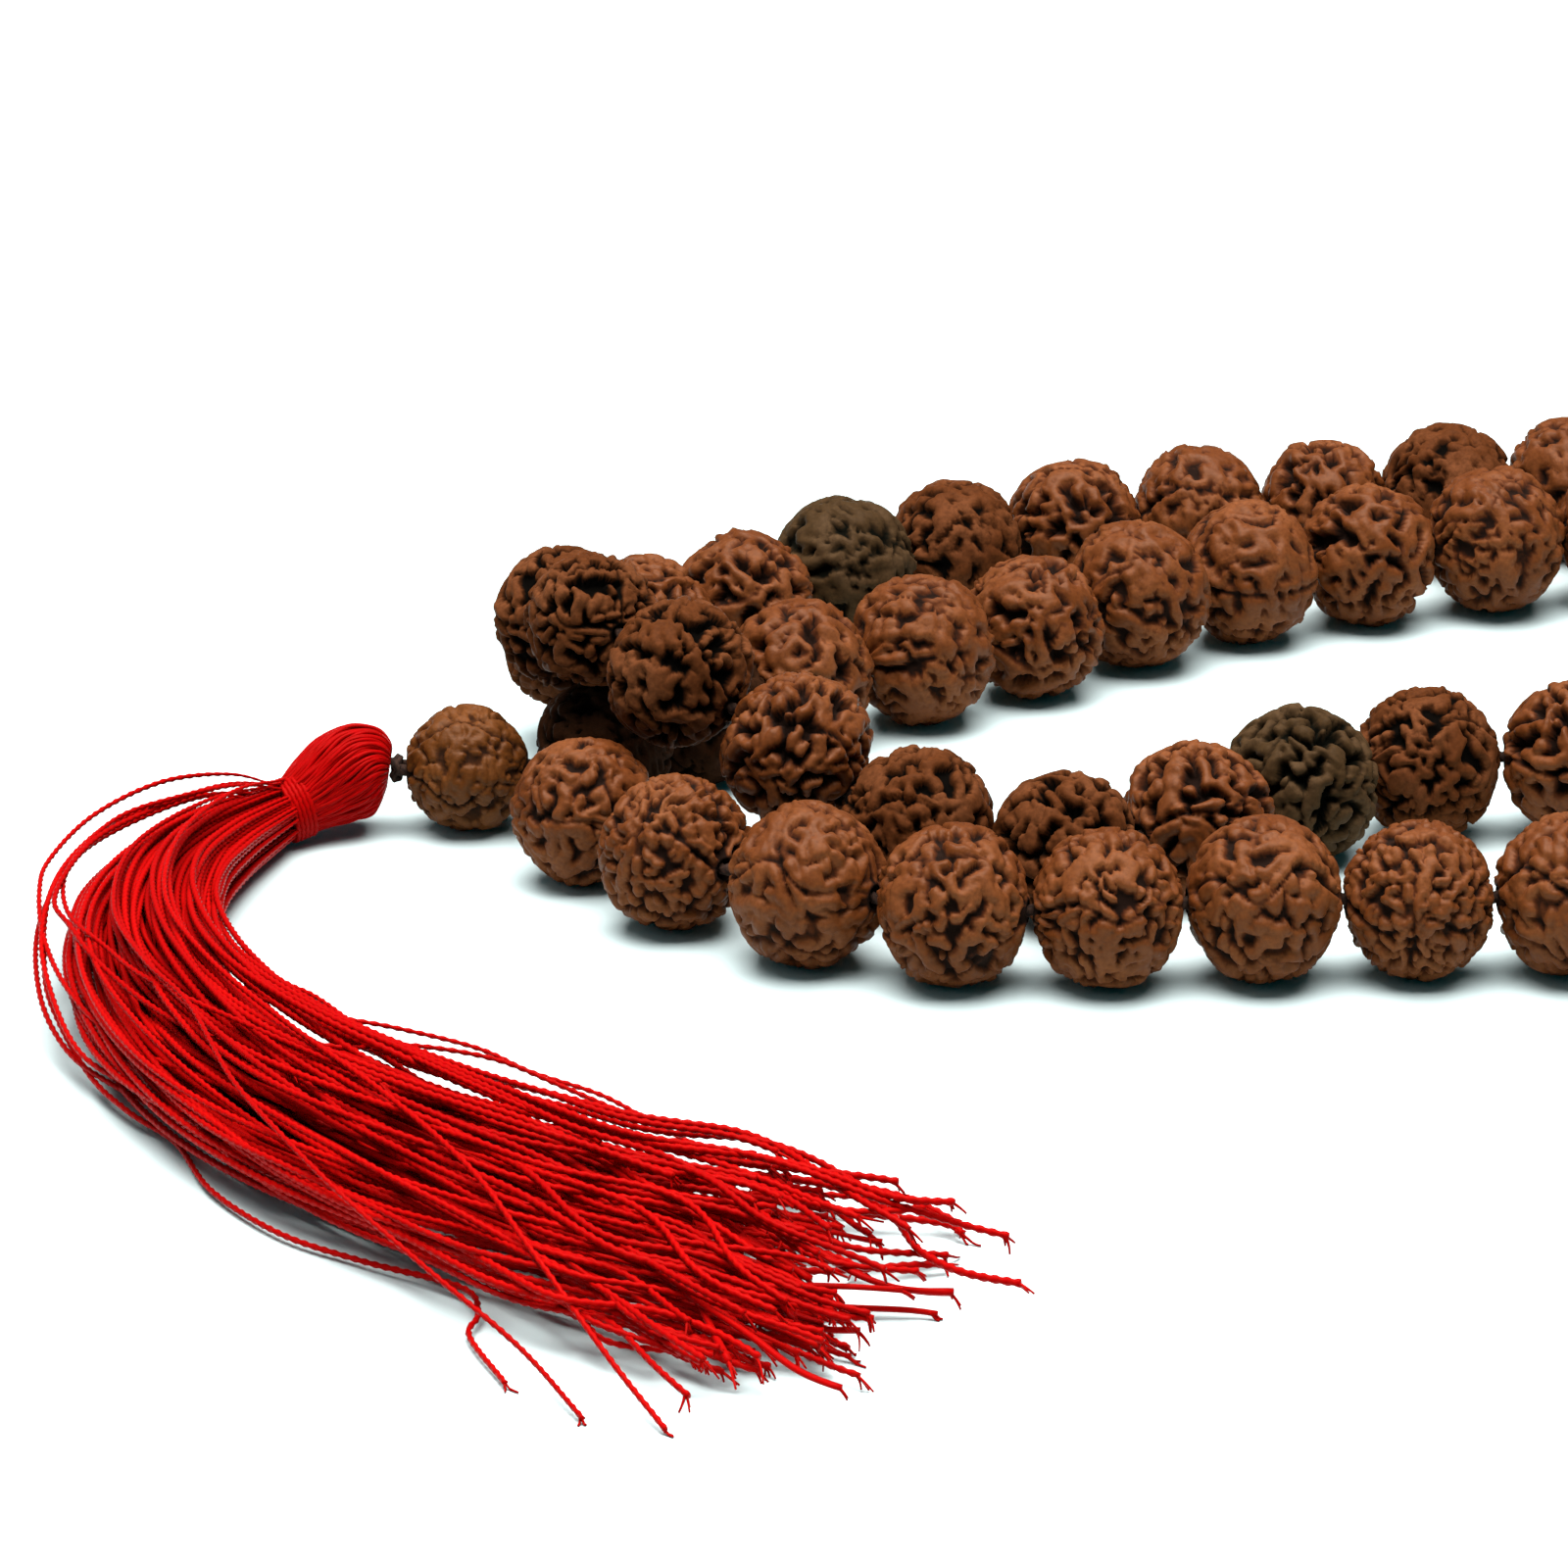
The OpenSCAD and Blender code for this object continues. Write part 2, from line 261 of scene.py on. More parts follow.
def seed_material(name, ridge, flank, crevice, worn, shine=0.34):
    """A dried seed: worn lighter tops, and redder flanks and near-black crevices that darken with depth: partly
    the seed's own colour, partly painted shade.
    """
    n = Nodes(name)
    n.per_unit = 1  # millimetres
    patch = n.noise(2.6, detail=2)
    grain = n.noise(0.22, detail=4)
    top = n.mix(n.span(patch, 0.38, 0.66, 0, 1), ridge, worn)
    top = n.mix(n.span(grain, 0.35, 0.75, 0, 0.55), top, flank)
    depth = n.mark("crevice")
    ragged = n.sum(depth, n.span(grain, 0.3, 0.7, -0.09, 0.09))
    # Down the walls and into the crevices the colour darkens with depth: partly the seed's own darker hollows,
    # partly painted shade.
    shaded_wall = n.mix(n.span(ragged, 0.12, 0.42, 0, 1), top, flank)
    colour = n.mix(n.span(ragged, 0.42, 0.85, 0, 1), shaded_wall, crevice)
    n.set(n.shader, "Base Color", colour)
    polish = n.span(patch, 0.3, 0.7, 0.42, 0.6)
    dull = n.span(depth, 0.1, 0.5, 0, 0.5)
    n.set(n.shader, "Roughness", n.sum(polish, dull))
    n.shader.inputs["IOR"].default_value = 1.3
    n.shader.inputs["Specular IOR Level"].default_value = shine
    n.shader.inputs["Specular Tint"].default_value = (1.0, 0.74, 0.55, 1)
    n.set(n.shader, "Normal", n.bump(grain, 0.05, 0.45))
    return n.material


def silk_material(name, bright, deep, dark):
    """Twisted silk: brighter and deeper threads, a purer red between plies, and a faint sheen."""
    n = Nodes(name)
    fibre = n.noise(0.12, detail=3)
    shade = n.noise(5.0, detail=1)
    ply = n.mix(n.mark("tone"), deep, bright)
    ply = n.mix(n.span(fibre, 0.35, 0.7, 0, 0.35), ply, deep)
    ply = n.mix(n.span(shade, 0.35, 0.7, 0, 0.3), ply, deep)
    colour = n.mix(n.span(n.mark("groove"), 0.45, 1.0, 0, 0.85), ply, dark)
    n.set(n.shader, "Base Color", colour)
    n.set(n.shader, "Roughness", n.span(fibre, 0.3, 0.7, 0.32, 0.5))
    n.shader.inputs["IOR"].default_value = 1.28
    n.shader.inputs["Specular IOR Level"].default_value = 0.15
    n.shader.inputs["Specular Tint"].default_value = (1.0, 0.16, 0.12, 1)
    n.shader.inputs["Sheen Weight"].default_value = 0.03
    n.shader.inputs["Sheen Roughness"].default_value = 0.4
    n.shader.inputs["Sheen Tint"].default_value = (1.0, 0.08, 0.05, 1)
    n.set(n.shader, "Normal", n.bump(fibre, 0.03, 0.4))
    return n.material


def cord_material():
    n = Nodes("cord_cotton")
    fibre = n.noise(0.1, detail=4)
    ply = n.mix(n.span(fibre, 0.3, 0.7, 0, 1), (0.018, 0.009, 0.006), (0.045, 0.022, 0.015))
    # Between the plies the cord is painted darker still: painted shade.
    colour = n.mix(n.span(n.mark("groove"), 0.4, 1.0, 0, 0.8), ply, (0.006, 0.004, 0.004))
    n.set(n.shader, "Base Color", colour)
    n.set(n.shader, "Roughness", n.span(fibre, 0.3, 0.7, 0.8, 0.95))
    n.shader.inputs["Specular IOR Level"].default_value = 0.1
    n.set(n.shader, "Normal", n.bump(fibre, 0.04, 0.6))
    return n.material


# ---- the beads' places, read from the frame ----
# A common bead in mm, with its length along the hole as a share of its diameter.
COMMON_RADIUS = 4.0
SQUAT = 0.89
HOLE_RADIUS = 0.55
# Corners of a CAD mesh that are nearer than this, in metres, are one point.
SAME_POINT = 0.001 * MM


def solids_of(mesh):
    """The middle and the greatest reach of each separate solid of a CAD mesh."""
    shape = bmesh.new()
    shape.from_mesh(mesh)
    bmesh.ops.remove_doubles(shape, verts=shape.verts, dist=SAME_POINT)
    left = set(shape.verts)
    found = []
    while left:
        edge = [left.pop()]
        island = []
        while edge:
            vert = edge.pop()
            island.append(vert.co[:])
            for link in vert.link_edges:
                other = link.other_vert(vert)
                if other in left:
                    left.remove(other)
                    edge.append(other)
        points = np.array(island)
        middle = (points.min(axis=0) + points.max(axis=0)) / 2
        found.append((middle, np.linalg.norm(points - middle, axis=1).max()))
    shape.free()
    return found


class Bead:
    """One bead of the string, in metres: its middle, its axis and half its length along it."""

    def __init__(self, number, node, middle, radius):
        self.number = number
        self.node = node
        self.middle = middle
        self.radius = radius
        self.axis = None
        self.half = radius * SQUAT


def node_number(name):
    """The number of a node's first bead."""
    return int(name.split("_")[1])


def find_beads():
    """Every bead in the order of the string, from the one after the guru bead."""
    beads = []
    here = np.array(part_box("guru_bead")).mean(axis=0)
    for node in sorted((n for n in frame["nodes"] if n.startswith("bead")), key=node_number):
        left = solids_of(frame["nodes"][node].data)
        while left:
            left.sort(key=lambda solid: np.linalg.norm(solid[0] - here))
            here, radius = left.pop(0)
            beads.append(Bead(len(beads) + 1, node, here, radius))
    return beads


def set_axes(beads):
    """A bead that turns has its joint's axis, and any other points from bead to bead."""
    turning = {joint["child"]: joint["axis"] for joint in frame["joints"]}
    for i, bead in enumerate(beads):
        if bead.node in turning:
            bead.axis = unit(turning[bead.node])
        else:
            bead.axis = unit(beads[i + 1].middle - beads[i - 1].middle)


body_of = {
    node: body
    for body, nodes in frame["record"]["behaviour"]["bodies"].items()
    for node in nodes
}
beads = find_beads()
set_axes(beads)
guru_low, guru_high = (np.array(corner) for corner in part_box("guru_bead"))
guru_at = (guru_low + guru_high) / 2


# ---- the skin of a seed ----
SEAMS = 5  # a rudraksha of the common kind has five faces, with a seam between each two


def sphere_points(count, rng, jitter):
    """Points spread over a ball of radius 1, each off its place by a share of their spacing."""
    i = np.arange(count) + 0.5
    z = 1 - 2 * i / count
    angle = math.pi * (1 + math.sqrt(5)) * i
    r = np.sqrt(1 - z * z)
    points = np.stack([r * np.cos(angle), r * np.sin(angle), z], axis=1)
    return unit(points + rng.normal(size=points.shape) * jitter * math.sqrt(2 * TURN / count))


LOWEST_DOME = -1.2  # a ridge's height falls no lower than this, as a share of its rise


def tubercles(points, rng, style):
    """Height in mm of short rounded ridges laid over the ball, which merge where they meet."""
    count = style["count"]
    spacing = math.sqrt(2 * TURN / count)
    middle = sphere_points(count, rng, 0.4)
    way = unit(np.cross(middle, rng.normal(size=(count, 3))))
    reach = spacing * style["long"] * rng.uniform(0, 1, count)[:, None] ** 1.5
    start = unit(middle - way * reach)
    ridge = unit(middle + way * reach) - start
    # How far each point is from each ridge, squared, from where it is nearest along the ridge.
    length2 = np.maximum((ridge ** 2).sum(axis=1), 1e-6)
    along = points @ ridge.T - (start * ridge).sum(axis=1)
    share = np.clip(along / length2, 0, 1)
    away2 = 2 - 2 * points @ start.T - 2 * share * along + share ** 2 * length2
    width = spacing * rng.uniform(style["thin"], style["thick"], count)
    dome = np.maximum(1 - np.maximum(away2, 0) / width ** 2, LOWEST_DOME)
    stand = rng.normal(size=count) * style["uneven"]
    rise = style["rise"] * rng.uniform(0.7, 1.15, count)
    height = stand + rise * dome
    highest = height.max(axis=1, keepdims=True)
    merged = np.exp(style["crease"] * (height - highest)).sum(axis=1)
    return highest[:, 0] + np.log(merged) / style["crease"]


def clefts(points, rng, count):
    """How strongly each point lies in one of the seams from hole to hole, and on their low lips."""
    turn = np.arctan2(points[:, 2], points[:, 1])
    reach = np.hypot(points[:, 1], points[:, 2])
    start = rng.uniform(0, TURN)
    seam = np.zeros(len(points))
    lip = np.zeros(len(points))
    for k in range(count):
        wander = 0.16 * waves(points[:, :1] * 2 + 7.3 * k, rng, 2.6, 8)
        at = start + TURN * k / count + rng.normal() * 0.1 + wander
        off = ((turn - at + math.pi) % TURN - math.pi) * reach
        strength = np.clip(0.8 + 0.3 * waves(points, rng, 1.0), 0, 1)
        seam = np.maximum(seam, strength * np.exp(-((off / 0.032) ** 2)))
        lip = np.maximum(lip, np.exp(-(((np.abs(off) - 0.11) / 0.07) ** 2)))
    return seam, lip


def relief(points, rng, style):
    """Height in mm over a seed of common size, and how deep in a crevice each point is: the mask of the seed
    colour's darkening, partly painted shade.
    """
    warp = 0.05 * np.stack([waves(points, rng, 0.8) for _ in range(3)], axis=1)
    warp += 0.02 * np.stack([waves(points, rng, 0.25) for _ in range(3)], axis=1)
    warped = unit(points + warp)
    skin = tubercles(warped, rng, style)
    # The tops are worn flat, and the hollows between the ridges are deep.
    worn = style["worn"] + 0.08 * waves(points, rng, 1.1)
    skin = np.minimum(skin, worn + 0.3 * (skin - worn))
    hollow = smooth_step(0.0, -0.14, skin)
    seam, lip = clefts(points, rng, SEAMS)
    height = np.maximum(skin, -0.3) - style["depth"] * hollow - 0.2 * seam + 0.06 * lip
    # Fine grain and a slow swell; then most of the skin is brought below the plain seed's surface.
    height += 0.01 * waves(points, rng, 0.1) + 0.05 * waves(points, rng, 0.8)
    height -= np.percentile(height, 88)
    low = smooth_step(-0.1, -0.55, height)
    return height, np.clip(low + 0.55 * seam, 0, 1)


FULLER_ENDS = 1.05
BORE_STEPS = 6


def seed_mesh(name, rng, style, sides, rings, hole=HOLE_RADIUS, squat=SQUAT):
    """A seed of common size in mm, lying along X, with its hole."""
    half = COMMON_RADIUS * squat
    edge = math.asin(hole / COMMON_RADIUS)
    lean = np.linspace(edge, math.pi - edge, rings)[:, None]
    angle = (np.arange(sides) * TURN / sides)[None]
    ball = np.stack(
        [
            np.broadcast_to(-np.cos(lean), (rings, sides)),
            np.sin(lean) * np.cos(angle),
            np.sin(lean) * np.sin(angle),
        ],
        axis=2,
    )
    height, deep = relief(ball.reshape(-1, 3), rng, style)
    height = height.reshape(rings, sides)
    deep = deep.reshape(rings, sides)
    # The skin draws in to the rim of the hole, where the crevice mark is raised so that it is painted dark:
    # painted shade going into the hole.
    from_rim = np.minimum(lean - edge, math.pi - edge - lean)
    skin = smooth_step(0, 0.12, from_rim)
    height = height * skin - 0.05 * (1 - skin)
    deep = np.maximum(deep, 1 - smooth_step(0, 0.08, from_rim))
    size = np.array([half, COMMON_RADIUS, COMMON_RADIUS])
    # A seed is a little fuller than an ellipsoid on its shoulders and towards its ends.
    shoulder = 1.005 + 0.025 * np.sin(2 * lean) ** 2
    fuller = np.stack([np.full_like(lean, FULLER_ENDS), shoulder, shoulder], axis=2)
    outer = ball * size * fuller + unit(ball / size) * height[..., None]
    bore = []
    for i in range(1, BORE_STEPS):
        x = outer[-1, :, 0] + (outer[0, :, 0] - outer[-1, :, 0]) * i / BORE_STEPS
        bore.append(np.stack([x, hole * np.cos(angle[0]), hole * np.sin(angle[0])], axis=1))
    points = np.concatenate([outer, np.array(bore)]).reshape(-1, 3)
    # The bore is marked as full crevice all along, so it is painted near-black: painted shade inside the hole.
    deep = np.concatenate([deep.ravel(), np.ones((BORE_STEPS - 1) * sides)])
    total = rings + BORE_STEPS - 1
    here = np.arange(total)[:, None] * sides
    there = (np.arange(total)[:, None] + 1) % total * sides
    j = np.arange(sides)[None]
    k = (j + 1) % sides
    quads = np.stack([here + j, here + k, there + k, there + j], axis=2).reshape(-1, 4)
    return make_mesh(name, points, quads.tolist(), {"crevice": deep})


# How the ridges of a seed lie: how many, how long and wide against their spacing, how high in
# mm, how sharp the creases between them, where wear has cut the tops, and how deep the hollows.
RIDGED = {
    "count": 420, "long": 0.8, "thin": 0.36, "thick": 0.6, "uneven": 0.07, "rise": 0.36,
    "crease": 30, "worn": 0.3, "depth": 0.12,
}
STYLES = {
    "ridged": RIDGED,
    "fine": dict(RIDGED, count=560, long=0.6),
    "smooth": dict(RIDGED, count=400, thin=0.42, thick=0.68, crease=38, uneven=0.09),
    "pitted": dict(RIDGED, count=300, thick=0.56, rise=0.45, worn=0.34, depth=0.34),
}
FRONT_STYLES = ["ridged", "smooth", "fine", "smooth", "ridged"]
SECOND_STYLES = ["pitted", "ridged", "pitted", "pitted"]
FAR_STYLES = ["ridged", "pitted", "smooth", "ridged", "pitted"]
NEAR_SIDES, NEAR_RINGS = 144, 92
FAR_SIDES, FAR_RINGS = 88, 56


def seed_set(name, styles, sides, rings, first_seed):
    return [
        seed_mesh(f"{name}_{i}", np.random.default_rng(first_seed + i), STYLES[style], sides, rings)
        for i, style in enumerate(styles)
    ]


def place_seed(piece, middle, axis, scale, spin, flipped):
    """Turns a seed that lies along X to lie along its bead's axis."""
    way = Vector(-axis if flipped else axis)
    turn = Vector((1, 0, 0)).rotation_difference(way).to_matrix().to_4x4()
    piece.matrix_world = (
        Matrix.Translation(middle)
        @ turn
        @ Matrix.Rotation(spin, 4, "X")
        @ Matrix.Scale(scale * MM, 4)
    )


# Strands as the camera meets them: the front one, the raised bend with the second, and the rest.
FRONT_BEADS = range(1, 10)
SECOND_BEADS = range(55, 68)
OLIVE_BEADS = (53, 64, 71, 30, 92)
DARK_BEADS = (48, 52, 56, 57, 58, 59, 61, 62, 65)
# The two seeds beside the guru bead lie in shadow; their near-black colour is a dark seed colour darkened further
# as painted shade.
SHADE_UMBER_BEADS = (107, 108)


def bead_tone(number):
    for tone, numbers in (("olive", OLIVE_BEADS), ("brown", DARK_BEADS), ("shade_umber", SHADE_UMBER_BEADS)):
        if number in numbers:
            return tone
    return "red"


def bead_shape(number, front, second, far):
    shapes = far
    if number in FRONT_BEADS:
        shapes = front
    elif number in SECOND_BEADS:
        shapes = second
    return shapes[number % len(shapes)].copy()


def add_beads():
    # Each tone's flank and crevice colours hold the seed's own darker hollows and painted shade there as well.
    tones = {
        "red": seed_material(
            "seed_red",
            ridge=(0.106, 0.027, 0.0058),
            flank=(0.052, 0.012, 0.0030),
            crevice=(0.007, 0.0026, 0.0018),
            worn=(0.148, 0.043, 0.0120),
        ),
        "brown": seed_material(
            "seed_brown",
            ridge=(0.080, 0.023, 0.007),
            flank=(0.030, 0.009, 0.003),
            crevice=(0.002, 0.0016, 0.0013),
            worn=(0.118, 0.038, 0.014),
            shine=0.03,
        ),
        "olive": seed_material(
            "seed_olive",
            ridge=(0.046, 0.024, 0.010),
            flank=(0.020, 0.011, 0.005),
            crevice=(0.003, 0.003, 0.002),
            worn=(0.070, 0.038, 0.018),
            shine=0.06,
        ),
        # Near-black: a dark seed colour, darkened further as painted shade for the shadow these seeds lie in.
        "shade_umber": seed_material(
            "seed_umber_painted_shade",
            ridge=(0.020, 0.007, 0.003),
            flank=(0.009, 0.004, 0.002),
            crevice=(0.002, 0.0015, 0.001),
            worn=(0.030, 0.011, 0.005),
            shine=0.02,
        ),
    }
    front = seed_set("front_seed", FRONT_STYLES, NEAR_SIDES, NEAR_RINGS, 30)
    second = seed_set("second_seed", SECOND_STYLES, NEAR_SIDES, NEAR_RINGS, 50)
    far = seed_set("far_seed", FAR_STYLES, FAR_SIDES, FAR_RINGS, 70)
    rng = np.random.default_rng(11)
    for bead in beads:
        mesh = bead_shape(bead.number, front, second, far)
        tone = tones[bead_tone(bead.number)]
        name = f"seed_{bead.number:03d}"
        piece = add_piece(name, mesh, body_of[bead.node], tone, [bead.node])
        scale = bead.radius / MM / COMMON_RADIUS
        spin = rng.uniform(0, TURN)
        place_seed(piece, bead.middle, bead.axis, scale, spin, bead.number % 2)


# The guru bead's hole, in mm, takes both ends of the cord, and its length is nearly its diameter.
GURU_HOLE_RADIUS = 0.8
GURU_SQUAT = 0.96
GURU_SPIN = 1.3


def add_guru():
    tone = seed_material(
        "guru_seed",
        ridge=(0.085, 0.024, 0.0038),
        flank=(0.040, 0.011, 0.0025),
        crevice=(0.006, 0.0026, 0.0018),
        worn=(0.122, 0.037, 0.0075),
    )
    scale = (guru_high[2] - guru_low[2]) / 2 / MM / COMMON_RADIUS
    bore = GURU_HOLE_RADIUS / scale
    style = dict(STYLES["smooth"], count=440, rise=0.34, depth=0.12)
    rng = np.random.default_rng(5)
    mesh = seed_mesh("guru_seed", rng, style, NEAR_SIDES, NEAR_RINGS, bore, GURU_SQUAT)
    piece = add_piece("guru_seed", mesh, "guru_bead", tone, ["guru_bead"])
    place_seed(piece, guru_at, np.array([1.0, 0, 0]), scale, GURU_SPIN, False)


add_beads()
add_guru()

# ---- the cord and its knot ----
CORD_RADIUS = 0.34 * MM
CORD_PITCH = 1.5 * MM
CORD_POINTS = 3600
CORD_SIDES = 9
# The cord's two runs through the guru bead lie this far to each side of its middle.
RUN_Y = 0.42 * MM
knot_low, knot_high = (np.array(corner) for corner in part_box("knot"))
knot_at = (knot_low + knot_high) / 2
# The knot is drawn up against the guru bead.
KNOT_SHIFT = 0.2 * MM


def cord_route():
    """Out of the guru bead, through every bead along its hole, and back into the guru bead."""
    start = [knot_at[0] + 0.4 * MM, 0, guru_at[2]]
    end_x = guru_high[0]
    front = [start, [guru_low[0] + 1 * MM, 0, 0], [end_x - 1 * MM, 0, 0], [end_x, 0, 0]]
    route = [[x, -RUN_Y, guru_at[2]] for x, _, _ in front]
    for bead in beads:
        for share in (-1, -0.5, 0.5, 1):
            route.append(bead.middle + bead.axis * bead.half * share)
    route += [[x, RUN_Y, guru_at[2]] for x, _, _ in reversed(front)]
    return np.array(route)


def add_strand(name, path, radius, depth, body, material):
    """One cord of three plies, which stands in for the node of its body's name."""
    points, faces, groove = strands(path[None], radius, CORD_SIDES, CORD_PITCH, lobes=3, depth=depth)
    mesh = make_mesh(name, points, faces, {"groove": groove})
    add_piece(name, mesh, body, material, [body])


def add_knot(material):
    """The two ends cross over each other in an overhand knot, with the short tail tucked in."""
    t = np.linspace(0, TURN * 0.985, 160)
    size = (knot_high[2] - knot_low[2]) / 2
    loop = np.stack(
        [
            -0.95 * np.sin(3 * t),
            1.3 * (np.sin(t) + 2 * np.sin(2 * t)),
            1.3 * (np.cos(t) - 2 * np.cos(2 * t)),
        ],
        axis=1,
    )
    path = knot_at + [KNOT_SHIFT, 0, 0] + loop * (size * 0.235)
    add_strand("overhand_knot", path, size * 0.36, 0.14, "knot", material)


cotton = cord_material()
add_strand("cord_strand", resample(cord_route(), CORD_POINTS), CORD_RADIUS, 0.16, "cord", cotton)
add_knot(cotton)

# ---- the tassel ----
# The threads, in mm.
THREAD_RADIUS = 0.19
STRAY_RADIUS = 0.155
THREAD_PITCH = 1.15
neck_low, neck_high = (np.array(corner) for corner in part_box("neck_binding"))
neck_at = (neck_low + neck_high) / 2 / MM
head_axis = unit(neck_at - knot_at / MM)
# The neck, in mm: its radius and half its length.
NECK_RADIUS = 1.4
NECK_HALF = 0.6

# The skirt from the neck to the cut ends, in mm: the middle of the bundle on the table, half its
# width and half its height.
SKIRT_ROUTE = [
    [-10.6, -5, 2, 1.9], [-12.6, -9.5, 2.7, 2.2], [-14.2, -15, 3.3, 2.5],
    [-14.6, -21.5, 3.9, 2.7], [-13.6, -28.3, 4.7, 2.8], [-11.2, -34.8, 5.5, 2.8],
    [-7.6, -40.8, 6.2, 2.7], [-3, -46, 7, 2.6], [2.2, -50.6, 7.8, 2.5], [7.6, -54.6, 8.7, 2.3],
    [13, -58, 9.6, 2], [17.4, -61.4, 10.4, 1.6], [21, -63.6, 9.6, 1],
]
SKIRT_LIFT = 0.05
STATIONS = 72
THREADS = 150
LOCKS = 14
LOCK_SEED = 200
# How far, in mm, the cut ends fling out sideways and up, tangle, and spread on the far side.
FLING = np.array([3.4, 0.5])
TANGLE = 0.9
SPREAD = 2.4
# Where a thread is cut, as a share of the route: in the middle, how much sooner towards the near
# edge, how uneven the far side and all of them are, and the limits.
CUT = 0.905
CUT_SLANT = 0.025
FAR_SIDE_UNEVEN = 0.16
CUT_UNEVEN = 0.022
CUT_FROM, CUT_TO = 0.76, 0.95
# The route runs on past the CAD skirt, flatter and wider, and every thread is cut off before its
# end: how far it runs on, its height and half height there, and how much wider it is.
OVERRUN = 7.0
OVERRUN_HEIGHT = 0.9
OVERRUN_HALF_HEIGHT = 0.7
OVERRUN_WIDER = 1.12


def skirt_spine():
    """Middles, sideways and upward vectors and half sizes at evenly spaced stations."""
    rows = [
        [*(neck_at + head_axis * end), NECK_RADIUS, NECK_RADIUS] for end in (-NECK_HALF, NECK_HALF)
    ]
    rows += [[x, y, h + SKIRT_LIFT, w, h] for x, y, w, h in SKIRT_ROUTE]
    tip = np.array(rows[-1])
    before = np.array(rows[-2])
    way = unit(tip[:3] - before[:3])
    beyond = tip.copy()
    beyond[:3] += way * OVERRUN
    beyond[2] = OVERRUN_HEIGHT
    beyond[3] *= OVERRUN_WIDER
    beyond[4] = OVERRUN_HALF_HEIGHT
    rows.append(beyond)
    spine = resample(np.array(rows), STATIONS)
    middle = spine[:, :3]
    along = unit(np.gradient(middle, axis=0))
    side = unit(np.cross(along, [0, 0, 1]))
    up = np.cross(side, along)
    return middle, side, up, spine[:, 3], spine[:, 4]


def settle(place, thickness, half_width, half_height, rounds=60):
    """Moves threads apart in each section until they lie beside each other.

    place is threads x stations x 2 and thickness has one value for each station.
    """
    for _ in range(rounds):
        gap = place[:, None] - place[None]
        away = np.linalg.norm(gap, axis=3)
        push = np.maximum(thickness - away, 0) / (away + 0.05)
        shove = (gap * push[..., None]).sum(axis=1)
        place[:, 1:] += 0.3 * shove[:, 1:]
        bend = place[:, :-2] + place[:, 2:] - 2 * place[:, 1:-1]
        place[:, 1:-1] += 0.25 * bend
        reach = np.hypot(place[..., 0] / half_width, place[..., 1] / half_height)
        place /= np.maximum(reach, 1)[..., None]
    return place


def skirt_threads(rng):
    """Paths of the loose threads, the share at which each is cut, and how far out it runs."""
    middle, side, up, half_width, half_height = skirt_spine()
    station = np.linspace(0, 1, STATIONS)
    turn = rng.uniform(0, TURN, THREADS)
    out = np.sqrt(rng.uniform(0, 1, THREADS))
    disc = np.stack([out * np.cos(turn), out * np.sin(turn)], axis=1)[:, None]
    # Threads wander together in locks, and each a little on its own.
    lock = rng.integers(0, LOCKS, THREADS)
    loose = smooth_step(0.05, 0.6, station)[None, :, None]
    shared = [
        waves(station[:, None], np.random.default_rng(LOCK_SEED + i), 0.9, 5)
        for i in range(2 * LOCKS)
    ]
    shared = np.reshape(shared, (LOCKS, 2, STATIONS)).transpose(0, 2, 1)
    own = [waves(station[:, None], rng, 0.45, 5) for _ in range(2 * THREADS)]
    own = np.reshape(own, (THREADS, 2, STATIONS)).transpose(0, 2, 1)
    place = disc + loose * (0.24 * shared[lock] + 0.14 * own)
    reach = np.linalg.norm(place, axis=2, keepdims=True)
    place /= np.maximum(reach, 1)
    size = np.stack([half_width, half_height], axis=1)[None]
    thickness = 2 * THREAD_RADIUS * (0.45 + 0.5 * smooth_step(0, 0.22, station))
    place = settle(place * size, thickness, half_width, half_height)
    # Towards the cut ends the threads fling out, tangle, and spread on the far side.
    fray = smooth_step(0.7, 1.0, station)[None, :, None] ** 1.5
    fling = rng.normal(size=(THREADS, 1, 2)) * FLING
    tangle = np.stack([waves(station[:, None], rng, 0.16, 4) for _ in range(THREADS)])
    place = place + fray * fling
    place[..., 0] += TANGLE * smooth_step(0.6, 0.85, station) * tangle
    spread = rng.uniform(0, SPREAD, (THREADS, 1)) * smooth_step(0.2, -0.6, disc[..., 0])
    place[..., 0] -= spread * smooth_step(0.6, 0.9, station)
    paths = middle[None] + side[None] * place[..., :1] + up[None] * place[..., 1:]
    floor = THREAD_RADIUS + 0.03
    paths[..., 2] = np.maximum(paths[..., 2], floor + 0.15 * rng.uniform(size=(THREADS, 1)))
    # The far side of the tail has threads of many lengths, so that its ends lie like a net.
    near_ends = int(STATIONS * 0.85)
    edge = place[:, near_ends, 0] / half_width[near_ends]
    uneven = FAR_SIDE_UNEVEN * smooth_step(0.4, -0.4, edge) * rng.uniform(0, 1, THREADS) ** 0.6
    end = CUT - CUT_SLANT * edge - uneven + CUT_UNEVEN * rng.normal(size=THREADS)
    return paths, np.clip(end, CUT_FROM, CUT_TO), np.linalg.norm(disc[:, 0], axis=1)


